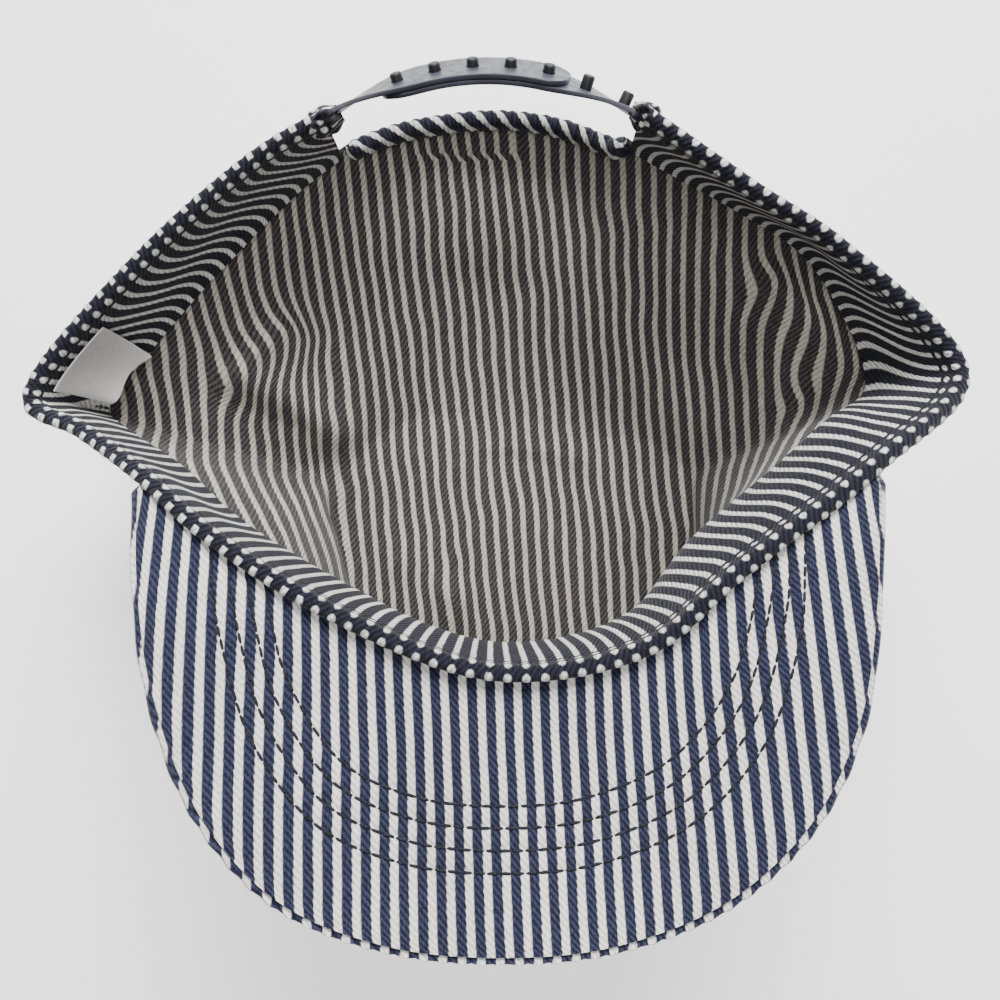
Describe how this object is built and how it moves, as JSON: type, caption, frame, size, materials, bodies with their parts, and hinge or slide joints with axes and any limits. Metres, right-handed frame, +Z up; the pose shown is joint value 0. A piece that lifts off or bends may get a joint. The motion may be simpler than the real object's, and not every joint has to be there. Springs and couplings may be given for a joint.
{
  "type": "railroad engineer cap",
  "caption": "Soft striped denim cap lying upside down on its crown, with a stiff curved visor, bands round the head opening and a plastic snap strap bridging the back opening.",
  "frame": {"origin": "middle of the cap's bounding box, on the surface that it lies on", "axes": "+Z up out of the head opening, -Y towards the visor, +X to the right of a viewer who looks down with the visor nearest"},
  "size_m": [0.2468, 0.226, 0.1085],
  "materials": {
    "denim_face": "navy and off-white hickory stripe twill, face side",
    "denim_reverse": "hickory stripe twill, paler grey-brown reverse side",
    "snap_plastic": "semi-gloss moulded plastic, dark slate",
    "label_satin": "bare white satin tape"
  },
  "bodies": {
    "root": {"crown": "denim_reverse", "outer_band": "denim_face", "sweatband": "denim_face", "visor_underside": "denim_face", "visor_top": "denim_face", "arch_binding": "denim_face", "strap_studs": "snap_plastic", "strap_holes": "snap_plastic", "care_label": "label_satin"}
  },
  "joints": []
}
